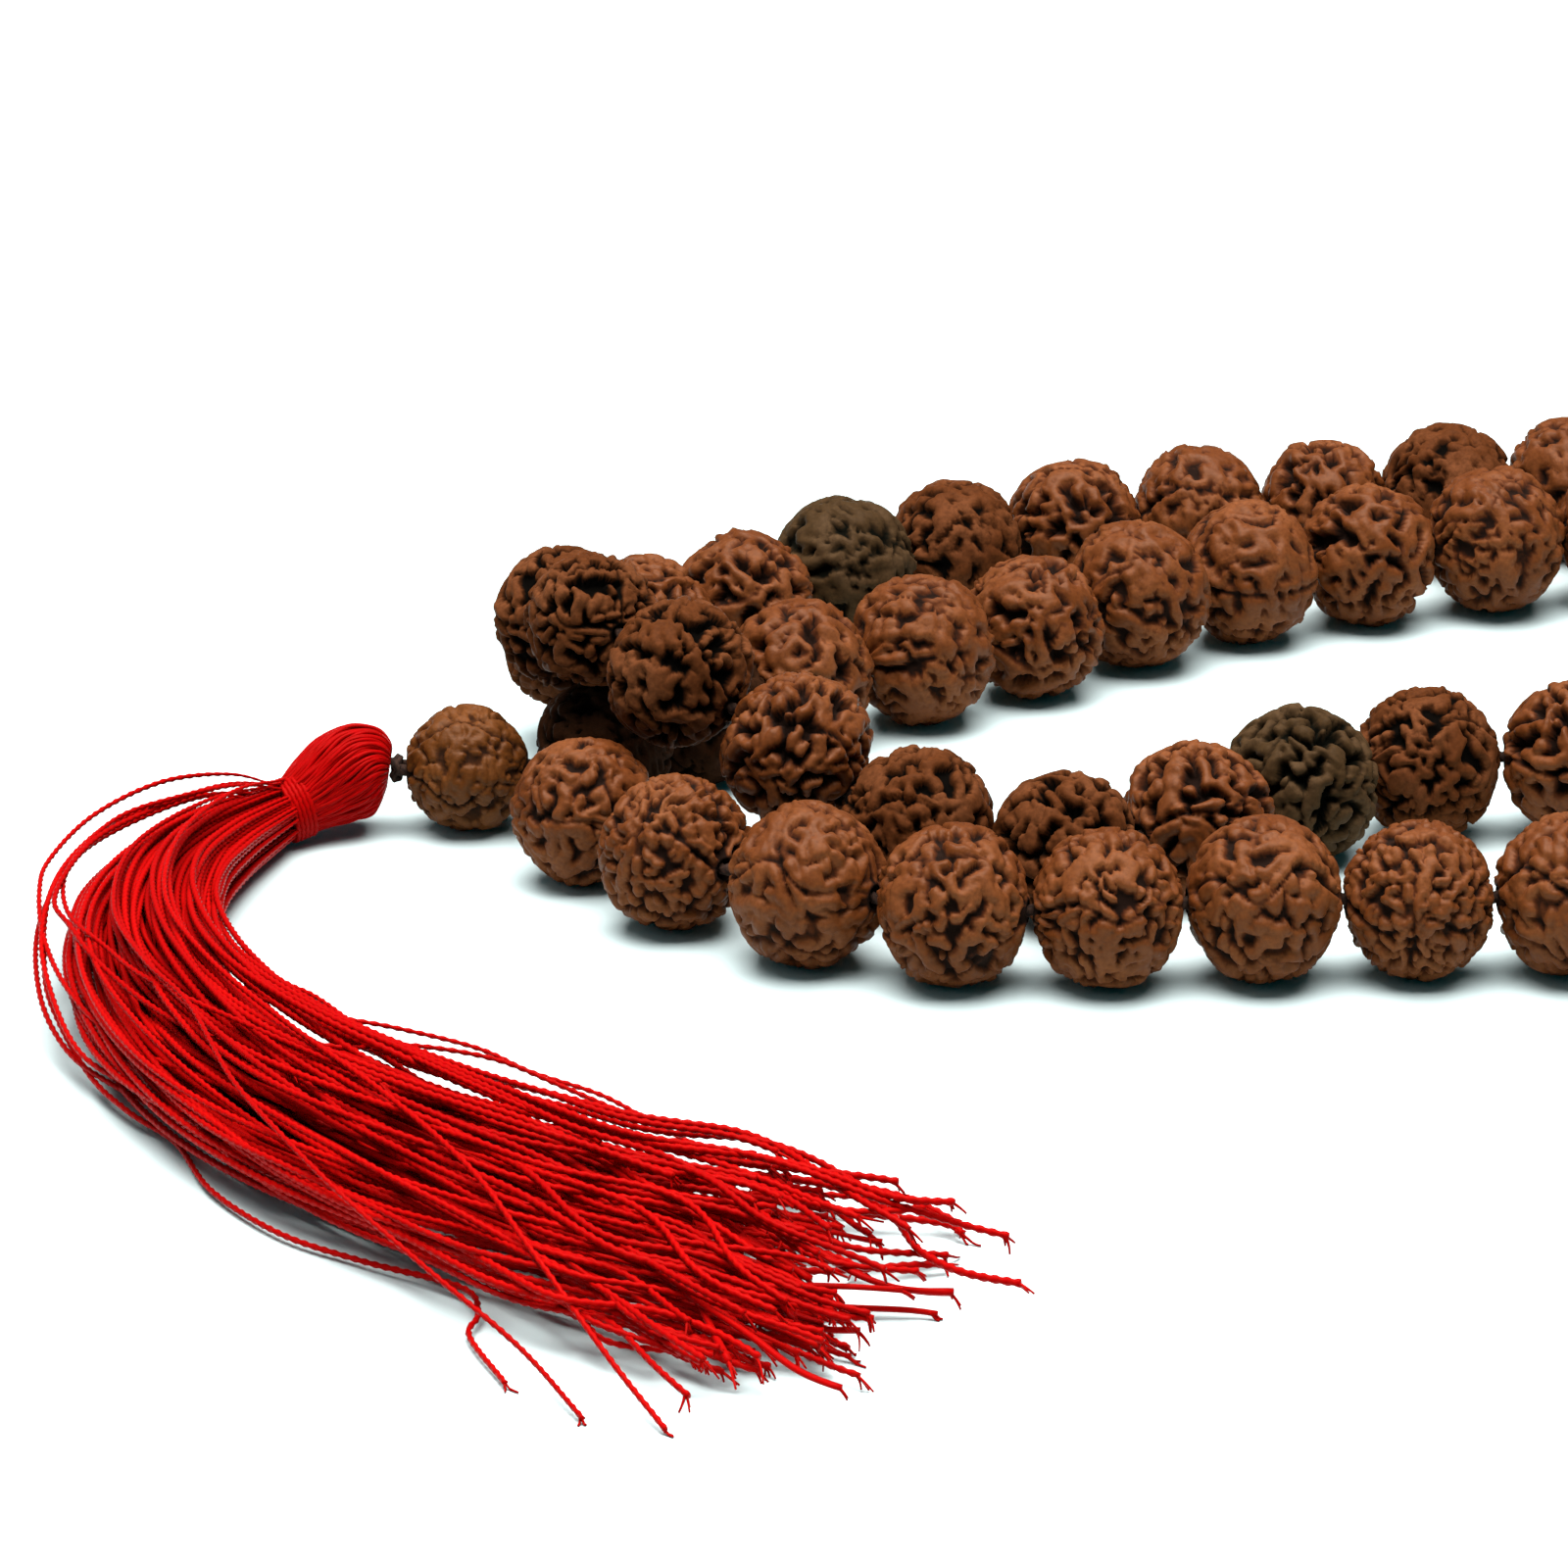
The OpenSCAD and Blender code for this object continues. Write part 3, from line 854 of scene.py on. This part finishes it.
# Threads that stray from the bundle, in mm: five loops left of the bend, a long one in front, three
# that cut across inside the bend, and two over the top with long ends. They are placed by hand, but
# for the X and Y of most points of the last eight: a scratch script worked those out from places
# picked by eye on the photo. The heights are estimates.
STRAYS = [
    [[-9.5, -3, 3.4], [-11.8, -4.6, 4.6], [-15, -7.4, 5.2], [-18, -11.6, 5], [-19.7, -16.6, 4.6],
     [-19.9, -20.4, 4.4], [-19.2, -25.6, 3.8], [-17.4, -31.6, 3.4], [-14.4, -37, 3], [-9, -43, 3.2]],
    [[-9.4, -3.2, 3], [-12.4, -6.4, 4.2], [-16, -10.4, 4.8], [-18.6, -15.2, 4.2], [-19.8, -22, 3.2],
     [-19.2, -28.6, 2.2], [-17.6, -33.4, 1.4], [-15.4, -37, 1.2], [-12, -41, 1.2], [-7, -46, 1.4]],
    [[-9.3, -3.2, 3.3], [-11.2, -6.2, 4.6], [-13.8, -9.4, 5.2], [-16.8, -13, 5.3], [-18.6, -19, 5],
     [-18.2, -24, 4.6], [-16, -29, 4.8], [-13.4, -34.4, 5.2], [-8, -41, 5.4], [-2, -47, 5.2]],
    [[-9.4, -3, 3.2], [-11.5, -5, 4.2], [-14.3, -8.5, 4.6], [-17.1, -12.3, 4.8], [-19, -18.2, 4.6],
     [-19.4, -24.5, 4], [-18.7, -29.3, 3], [-16.8, -35.2, 2], [-14, -38.7, 1.6], [-9, -44, 1.4]],
    [[-9.3, -2.8, 3.4], [-12, -6.2, 4.6], [-15.3, -11, 5], [-17.8, -16.2, 5.2], [-18.9, -22.9, 5],
     [-17.9, -26.3, 4.8], [-15.8, -31.4, 4.6], [-12, -38, 4.6], [-6, -45, 4.8]],
    [[-9.6, -3.4, 2.6], [-13, -7.4, 4.4], [-17.6, -13.5, 4.4], [-19.3, -21, 4.4], [-19, -27.9, 3],
     [-18, -31.7, 2], [-16.1, -36.2, 1], [-14, -40, 0.8], [-11.7, -42.8, 0.5], [-9.7, -48.1, 0.4],
     [-6.3, -53, 0.4], [-2.4, -56.1, 0.4], [2.1, -59.4, 0.6], [2.9, -62, 0.5], [2.6, -64.1, 0.4],
     [4.3, -68.7, 0.3]],
    [[-9.1, -2.6, 2.6], [-10.6, -6.5, 3], [-11.8, -12, 3.4], [-12, -18.5, 3.4], [-11.4, -23.8, 3.4],
     [-7.7, -29.3, 3.2], [-5.9, -31.5, 3.2], [-3.8, -35.1, 3.2], [-2.2, -39.3, 4], [1, -45, 4.8],
     [8, -52, 4.4]],
    [[-9.1, -2.8, 2.2], [-10.8, -8, 3], [-11.8, -15, 3.6], [-11.9, -22, 3.8], [-11.1, -27.8, 3.6],
     [-8.5, -32.3, 3.5], [-5.8, -34.1, 3.4], [-2.1, -35.1, 3.1], [1.9, -36.7, 2.7], [4.5, -38.7, 2.3],
     [7.8, -40.3, 1.8], [10.4, -42.7, 1.3], [12.7, -44.2, 0.8], [14.9, -43.8, 0.4]],
    [[-9.4, -3, 2.4], [-11.6, -10, 3.4], [-12.6, -18, 4], [-12.4, -26, 4.4], [-10, -33, 4.4],
     [-7.1, -38.4, 4.2], [-4.1, -40.1, 4.1], [-1.9, -38.5, 3.6], [0.6, -37.9, 3.1], [3.2, -38.4, 2.7],
     [5.8, -40, 2.2], [8.1, -41.6, 1.8], [11.1, -43.9, 1.4], [14, -47.1, 0.9], [18.5, -50.4, 0.5]],
    [[-9.4, -2.8, 3.4], [-12.6, -9, 4.8], [-15.6, -17, 5.4], [-15.8, -26, 5.7], [-13.8, -33, 5.7],
     [-11.3, -38.3, 5.6], [-8.8, -46, 5], [-6.1, -51.5, 4.4], [-3.2, -56.3, 3.6], [0.6, -61.3, 2.4],
     [4.8, -66.5, 1], [7.7, -72.3, 0.3]],
    [[-9.2, -2.6, 3.6], [-11.4, -8, 4.9], [-13.4, -16, 5.6], [-13.4, -25, 5.8], [-10.8, -33, 5.8],
     [-6.6, -41, 5.7], [-1.6, -49, 5.4], [2.4, -56, 4.8], [5.2, -62, 3.6], [8.7, -68.5, 1.4],
     [11.2, -73.4, 0.3]],
]


OUTER_PIECES = 5
CORE_SHARE = 0.55  # threads nearer the middle than this are the hidden core, with fewer points


def add_skirt(silk):
    rng = np.random.default_rng(21)
    paths, end, out = skirt_threads(rng)
    fine = out > CORE_SHARE
    locks = {"skirt_core": (np.flatnonzero(~fine), 150, 5)}
    outer = np.flatnonzero(fine)
    for k in range(OUTER_PIECES):
        locks[f"skirt_lock_{k + 1}"] = (outer[k::OUTER_PIECES], 540, 6)
    for name, (members, rings, sides) in locks.items():
        threads = [resample(paths[i], rings, 0, end[i]) for i in members]
        add_thread_piece(name, threads, sides, rng, silk)
    loops = [resample(stray, 600) for stray in STRAYS]
    add_thread_piece("skirt_strays", loops, 6, rng, silk, STRAY_RADIUS)
    add_frayed_ends(paths, end, rng, silk)


def add_thread_piece(name, paths, sides, rng, silk, radius=THREAD_RADIUS):
    """Threads that are thinner where the binding squeezes them."""
    paths = np.array(paths)
    rings = paths.shape[1]
    share = np.linspace(0, 1, rings)
    squeeze = 0.5 + 0.5 * smooth_step(0, 0.14, share)
    swell = 1 + 0.06 * rng.normal(size=(len(paths), 1))
    points, faces, groove = strands(
        paths * MM, radius * MM * squeeze * swell, sides, THREAD_PITCH * MM,
        phase=rng.uniform(0, TURN, len(paths)),
    )
    tone = np.repeat(rng.uniform(0.4, 1, len(paths)), rings * sides)
    mesh = make_mesh(name, points, faces, {"groove": groove, "tone": tone})
    add_piece(name, mesh, "tassel", silk, ["tassel_skirt"])


FRAYS_PER_THREAD = 3
FRAY_POINTS = 9
FRAY_SIDES = 4
FRAY_RADIUS = 0.1


def add_frayed_ends(paths, end, rng, silk):
    """The cut ends come apart into fine fibres."""
    fibres = []
    tips = [resample(paths[i], 40, 0, end[i])[-3:] for i in range(THREADS)]
    tips += [resample(stray, 200)[-3:] for stray in STRAYS]
    for tip in tips:
        way = unit(tip[-1] - tip[0])
        for _ in range(FRAYS_PER_THREAD):
            length = rng.uniform(0.4, 1.0)
            drift = rng.normal(size=3) * np.array([0.35, 0.35, 0.12])
            t = np.linspace(0, 1, FRAY_POINTS)[:, None]
            fibre = tip[-1] - way * 0.4 + way * length * t + drift * length * t ** 2
            fibre[:, 2] = np.maximum(fibre[:, 2] - 0.5 * t[:, 0] ** 2, 0.08)
            fibres.append(fibre)
    fibres = np.array(fibres)
    taper = FRAY_RADIUS * (1 - 0.5 * np.linspace(0, 1, FRAY_POINTS))
    points, faces, _ = strands(fibres * MM, taper * MM, FRAY_SIDES, 1, depth=0)
    tone = np.repeat(rng.uniform(0, 1, len(fibres)), FRAY_POINTS * FRAY_SIDES)
    mesh = make_mesh("skirt_frays", points, faces, {"groove": np.zeros(len(points)), "tone": tone})
    add_piece("skirt_frays", mesh, "tassel", silk, ["tassel_skirt"])


HEAD_RADIUS = 2.3
HEAD_THREADS = 84
HEAD_THREAD_RADIUS = 0.13
HEAD_THREAD_PITCH = 3.2
HEAD_RINGS, HEAD_SIDES = 120, 7
CORE_RINGS, CORE_SIDES = 24, 32
# The head leaves the knot level and comes down to the neck: how far it holds to each way.
HEAD_START = 0.2
HEAD_LEAVES = np.array([-2.2, 0, 0.35])
HEAD_ARRIVES = 1.2


def head_radius(share):
    """The head's radius from its blunt top, at 0, to the neck, at 1."""
    outline = [[0, 0.42], [0.02, 0.58], [0.08, 0.79], [0.18, 0.94], [0.32, 1], [0.48, 0.94],
               [0.66, 0.8], [0.84, 0.66], [1, 0.58]]
    curve = resample(outline, 80)
    return HEAD_RADIUS * np.interp(share, curve[:, 0], curve[:, 1])


def head_line(share):
    """The head's middle line, with its sideways and upward vectors."""
    start = knot_at / MM - [HEAD_START, 0, 0]
    end = neck_at + head_axis * NECK_HALF
    bends = [start, start + HEAD_LEAVES, neck_at - head_axis * HEAD_ARRIVES, end]
    rest = 1 - share
    weights = np.stack([rest ** 3, 3 * rest ** 2 * share, 3 * rest * share ** 2, share ** 3], axis=1)
    line = weights @ np.array(bends)
    along = unit(np.gradient(line, axis=0))
    side = unit(np.cross(along, [0, 0, 1]))
    return line, side, np.cross(side, along)


def add_head(silk):
    """Silk folded over the cord's loop, tied off at the neck."""
    rng = np.random.default_rng(8)
    share = np.linspace(0, 1, HEAD_RINGS)
    line, side, up = head_line(share)
    paths = []
    for ring, squeeze in ((0, 1.0), (1, 0.94)):
        for i in range(HEAD_THREADS):
            turn = TURN * (i + 0.5 * ring) / HEAD_THREADS
            swirl = turn + 0.25 * share + 0.05 * waves(share[:, None], rng, 1.2, 4)
            reach = head_radius(share) * squeeze * (1 + 0.035 * waves(share[:, None], rng, 0.8, 4))
            out = side * np.cos(swirl)[:, None] + up * np.sin(swirl)[:, None]
            paths.append(line + out * reach[:, None])
    paths = np.array(paths)
    slim = 0.55 + 0.45 * smooth_step(0.9, 1.9, head_radius(share))
    phase = rng.uniform(0, TURN, len(paths))
    points, faces, groove = strands(
        paths * MM, HEAD_THREAD_RADIUS * slim * MM, HEAD_SIDES, HEAD_THREAD_PITCH * MM,
        depth=0.12, phase=phase,
    )
    # The head's threads take the deeper end of the tones, so the head is painted darker than the skirt: painted
    # shade.
    tone = np.repeat(rng.uniform(0, 0.4, len(paths)), HEAD_RINGS * HEAD_SIDES)
    mesh = make_mesh("head_folds", points, faces, {"groove": groove, "tone": tone})
    add_piece("head_folds", mesh, "tassel", silk, ["tassel_head"])
    add_head_core(silk)


def add_head_core(silk):
    """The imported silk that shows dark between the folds."""
    share = np.linspace(0, 1, CORE_RINGS)
    line, side, up = head_line(share)
    angle = np.arange(CORE_SIDES) * TURN / CORE_SIDES
    out = side[:, None] * np.cos(angle)[:, None] + up[:, None] * np.sin(angle)[:, None]
    rings = line[:, None] + out * (head_radius(share) * 0.9)[:, None, None]
    points = rings.reshape(-1, 3) * MM
    j = np.arange(CORE_SIDES)
    k = (j + 1) % CORE_SIDES
    here = np.arange(CORE_RINGS - 1)[:, None] * CORE_SIDES
    there = here + CORE_SIDES
    quads = np.stack([here + j, there + j, there + k, here + k], axis=2).reshape(-1, 4)
    last = (CORE_RINGS - 1) * CORE_SIDES + j[::-1]
    faces = quads.tolist() + [j.tolist(), last.tolist()]
    marks = {"groove": np.full(len(points), 0.9), "tone": np.zeros(len(points))}
    mesh = make_mesh("head_core", points, faces, marks)
    add_piece("head_core", mesh, "tassel", silk, ["tassel_head"])


BINDING_TURNS = 5
BINDING_RADIUS = 0.17
BINDING_PITCH = 0.9
BINDING_STAND = 0.16  # how far the thread's middle lies outside the neck


def add_binding(silk):
    """One thread wound round the neck."""
    side = unit(np.cross(head_axis, [0, 0, 1]))
    up = np.cross(side, head_axis)
    t = np.linspace(0, 1, 60 * BINDING_TURNS)
    angle = t * BINDING_TURNS * TURN
    reach = NECK_RADIUS + BINDING_STAND
    path = (
        neck_at
        + head_axis * ((t - 0.5) * 2 * NECK_HALF)[:, None]
        + side * (reach * np.cos(angle))[:, None]
        + up * (reach * np.sin(angle))[:, None]
    )
    points, faces, groove = strands(path[None] * MM, BINDING_RADIUS * MM, 7, BINDING_PITCH * MM)
    marks = {"groove": groove, "tone": np.full(len(points), 0.3)}
    mesh = make_mesh("neck_thread", points, faces, marks)
    add_piece("neck_thread", mesh, "tassel", silk, ["neck_binding"])


silk = silk_material(
    "red_silk",
    bright=(0.37, 0.002, 0.0012),
    deep=(0.23, 0.0012, 0.001),
    dark=(0.3, 0.0, 0.001),
)
add_skirt(silk)
add_head(silk)
add_binding(silk)


# ---- floor and light ----
BACKDROP = (0.86, 0.90, 0.91, 1)
FLOOR_REACH = 3.0
# Only the lamps light the floor within the first distance from the origin. Beyond the second it has
# the backdrop's own brightness too, so that no dark edge shows at the horizon.
PLAIN_FLOOR = 0.4
FADED_FLOOR = 0.9
LAMPS_FACE = (0.03, 0.0, 0.0)


def add_floor():
    mesh = bpy.data.meshes.new("floor")
    r = FLOOR_REACH
    mesh.from_pydata([(-r, -r, 0), (r, -r, 0), (r, r, 0), (-r, r, 0)], [], [(0, 1, 2, 3)])
    n = Nodes("floor_white")
    n.shader.inputs["Base Color"].default_value = (0.56, 0.66, 0.67, 1)
    n.shader.inputs["Roughness"].default_value = 0.9
    n.shader.inputs["Specular IOR Level"].default_value = 0.1
    away = n.tree.nodes.new("ShaderNodeVectorMath")
    away.operation = "LENGTH"
    n.tree.links.new(n.add("ShaderNodeNewGeometry").outputs["Position"], away.inputs[0])
    n.shader.inputs["Emission Color"].default_value = BACKDROP
    faded = n.span(away.outputs["Value"], PLAIN_FLOOR, FADED_FLOOR, 0, 1)
    n.set(n.shader, "Emission Strength", faded)
    mesh.materials.append(n.material)
    floor = bpy.data.objects.new("floor", mesh)
    bpy.context.scene.collection.objects.link(floor)


def add_light(name, place, size, watts, colour):
    """A square softbox that faces the part."""
    data = bpy.data.lights.new(name, "AREA")
    data.energy = watts
    data.size = size
    data.color = colour
    light = bpy.data.objects.new(name, data)
    light.location = place
    aim = Vector(LAMPS_FACE) - Vector(place)
    light.rotation_euler = aim.to_track_quat("-Z", "Y").to_euler()
    bpy.context.scene.collection.objects.link(light)


def add_world():
    """A pale backdrop, whose own light is weak and cyan and only reaches into the shadows."""
    world = bpy.data.worlds.new("studio")
    bpy.context.scene.world = world
    world.use_nodes = True
    tree = world.node_tree
    fill = tree.nodes["Background"]
    fill.inputs["Color"].default_value = (0.0, 0.75, 0.9, 1)
    fill.inputs["Strength"].default_value = 0.15
    backdrop = tree.nodes.new("ShaderNodeBackground")
    backdrop.inputs["Color"].default_value = BACKDROP
    seen = tree.nodes.new("ShaderNodeLightPath")
    both = tree.nodes.new("ShaderNodeMixShader")
    tree.links.new(seen.outputs["Is Camera Ray"], both.inputs["Fac"])
    tree.links.new(fill.outputs["Background"], both.inputs[1])
    tree.links.new(backdrop.outputs["Background"], both.inputs[2])
    tree.links.new(both.outputs["Shader"], tree.nodes["World Output"].inputs["Surface"])


add_floor()
add_world()
add_light("top_softbox", place=(0.03, -0.03, 0.87), size=0.9, watts=31.0, colour=(1.0, 0.98, 0.95))
add_light("front_softbox", place=(-0.35, -0.45, 0.55), size=0.5, watts=0.5, colour=(1.0, 0.98, 0.96))
bpy.context.scene.view_settings.view_transform = "Standard"
